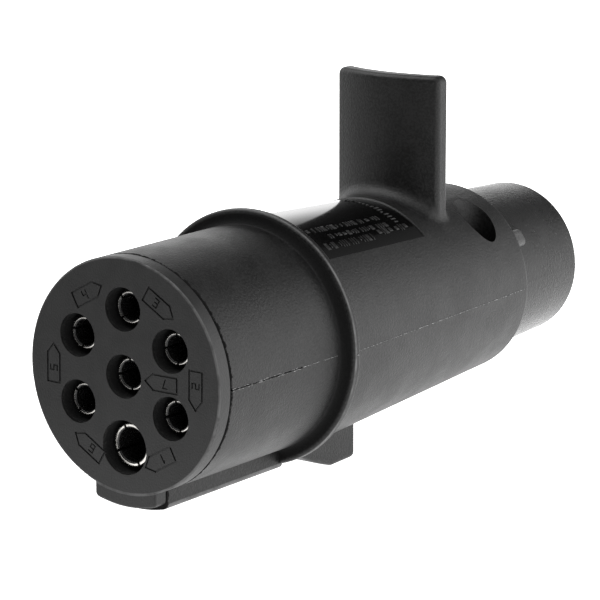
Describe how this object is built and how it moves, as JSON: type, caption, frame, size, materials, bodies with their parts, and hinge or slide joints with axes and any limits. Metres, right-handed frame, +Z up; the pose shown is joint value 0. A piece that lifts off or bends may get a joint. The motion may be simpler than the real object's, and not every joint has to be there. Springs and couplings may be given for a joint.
{
  "type": "trailer wiring connector",
  "caption": "Round seven-way trailer plug: clamshell housing with pull handle, key rib and catch, carrier with split-sleeve contacts, clamping screws and rubber cable boot.",
  "frame": {"origin": "centre of the mating face, on the plug's axis", "axes": "+Y along the plug towards the cable, +Z up towards the pull handle (the key rib hangs down), +X to the right seen from the mating face"},
  "size_m": [0.0504, 0.1329, 0.0745],
  "materials": {
    "housing": "black moulded nylon, fine spark-eroded texture",
    "carrier": "black moulded nylon, smooth matt",
    "boot": "black rubber, coarse matt texture",
    "contact_metal": "nickel-plated brass",
    "screw_steel": "zinc-plated steel",
    "insert_brass": "brass, bright turned"
  },
  "bodies": {
    "housing_base": {"lower_shell": "housing", "contact_carrier": "carrier", "cable_boot": "boot", "threaded_insert_right": "insert_brass", "threaded_insert_left": "insert_brass", "contact_top": "contact_metal", "contact_upper_right": "contact_metal", "contact_lower_right": "contact_metal", "contact_lower_left": "contact_metal", "contact_upper_left": "contact_metal", "contact_centre": "contact_metal", "ground_contact": "contact_metal"},
    "housing_top": {"upper_shell": "housing"},
    "washer_right": {"shell_washer_right": "screw_steel"},
    "screw_right": {"shell_screw_right": "screw_steel"},
    "washer_left": {"shell_washer_left": "screw_steel"},
    "screw_left": {"shell_screw_left": "screw_steel"},
    "clamp_top": {"terminal_screw_top": "screw_steel"},
    "clamp_upper_right": {"terminal_screw_upper_right": "screw_steel"},
    "clamp_lower_right": {"terminal_screw_lower_right": "screw_steel"},
    "clamp_lower_left": {"terminal_screw_lower_left": "screw_steel"},
    "clamp_upper_left": {"terminal_screw_upper_left": "screw_steel"},
    "clamp_centre": {"terminal_screw_centre": "screw_steel"},
    "clamp_ground": {"terminal_screw_ground": "screw_steel"}
  },
  "joints": [
    {"name": "housing_top_lift", "type": "slide", "parent": "housing_base", "child": "housing_top", "axis": [0, 0, 1], "range_m": [0, 0.04]},
    {"name": "washer_right_lift", "type": "slide", "parent": "housing_top", "child": "washer_right", "axis": [0, 0, 1], "range_m": [0, 0.0063]},
    {"name": "screw_right_turn", "type": "hinge", "parent": "washer_right", "child": "screw_right", "pos_m": [0.01275, 0.0977, 0.0045], "axis": [0, 0, 1], "range_deg": [0, 3241]},
    {"name": "washer_left_lift", "type": "slide", "parent": "housing_top", "child": "washer_left", "axis": [0, 0, 1], "range_m": [0, 0.0063]},
    {"name": "screw_left_turn", "type": "hinge", "parent": "washer_left", "child": "screw_left", "pos_m": [-0.01275, 0.0977, 0.0045], "axis": [0, 0, 1], "range_deg": [0, 3241]},
    {"name": "clamp_top_travel", "type": "slide", "parent": "housing_base", "child": "clamp_top", "axis": [0, 0, 1], "range_m": [0, 0.0014]},
    {"name": "clamp_upper_right_travel", "type": "slide", "parent": "housing_base", "child": "clamp_upper_right", "axis": [0.866, 0, 0.5], "range_m": [0, 0.0014]},
    {"name": "clamp_lower_right_travel", "type": "slide", "parent": "housing_base", "child": "clamp_lower_right", "axis": [0.866, 0, -0.5], "range_m": [0, 0.0014]},
    {"name": "clamp_lower_left_travel", "type": "slide", "parent": "housing_base", "child": "clamp_lower_left", "axis": [-0.866, 0, -0.5], "range_m": [0, 0.0014]},
    {"name": "clamp_upper_left_travel", "type": "slide", "parent": "housing_base", "child": "clamp_upper_left", "axis": [-0.866, 0, 0.5], "range_m": [0, 0.0014]},
    {"name": "clamp_centre_travel", "type": "slide", "parent": "housing_base", "child": "clamp_centre", "axis": [0, 0, 1], "range_m": [0, 0.0025]},
    {"name": "clamp_ground_travel", "type": "slide", "parent": "housing_base", "child": "clamp_ground", "axis": [1, 0, 0], "range_m": [0, 0.0025]}
  ],
  "couplings": [
    {"joint": "screw_right_turn", "follows": "washer_right_lift", "rad_per_m": 8976},
    {"joint": "screw_left_turn", "follows": "washer_left_lift", "rad_per_m": 8976}
  ]
}
